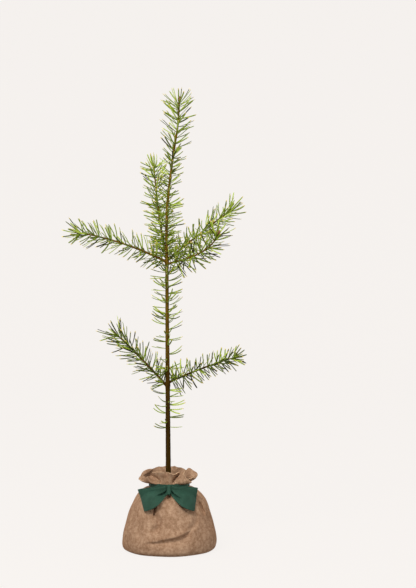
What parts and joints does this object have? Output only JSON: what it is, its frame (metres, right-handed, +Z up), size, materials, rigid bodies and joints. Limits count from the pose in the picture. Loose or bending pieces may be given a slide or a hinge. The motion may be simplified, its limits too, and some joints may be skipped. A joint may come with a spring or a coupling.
{
  "type": "potted scots pine",
  "caption": "Slender young pine with whorled, needled boughs and a needled leader, its root ball in a gathered soft cloth pouch tied at the neck with a ribbon bow.",
  "frame": {"origin": "centre of the pouch's flat underside", "axes": "+Z up along the stem, +X to the viewer's right, -Y towards the viewer and the bow"},
  "size_m": [0.3642, 0.2292, 0.9277],
  "materials": {
    "bark": "rough, thin brown bark",
    "needles": "satin green needles",
    "bud": "red-brown, slightly waxy",
    "soil": "matte moist peat",
    "cloth": "matte brushed suede cloth",
    "ribbon": "satin-matte woven ribbon"
  },
  "bodies": {
    "root": {"trunk": "bark", "bough_upper_left": "bark", "bough_upper_right": "bark", "bough_upper_front": "bark", "bough_upper_back": "bark", "bough_lower_left": "bark", "bough_lower_right": "bark", "needles_upper_left": "needles", "needles_upper_right": "needles", "needles_upper_front": "needles", "needles_upper_back": "needles", "needles_lower_left": "needles", "needles_lower_right": "needles", "needles_stem_low": "needles", "needles_stem_middle": "needles", "needles_stem_high": "needles", "needles_leader_low": "needles", "needles_leader_middle": "needles", "needles_leader_top": "needles", "bud_upper_left": "bud", "bud_upper_right": "bud", "bud_upper_front": "bud", "bud_upper_back": "bud", "bud_lower_left": "bud", "bud_lower_right": "bud", "bud_leader": "bud", "root_ball": "soil", "pouch": "cloth", "ribbon_band": "ribbon", "bow_knot": "ribbon", "bow_left": "ribbon", "bow_right": "ribbon"}
  },
  "joints": []
}
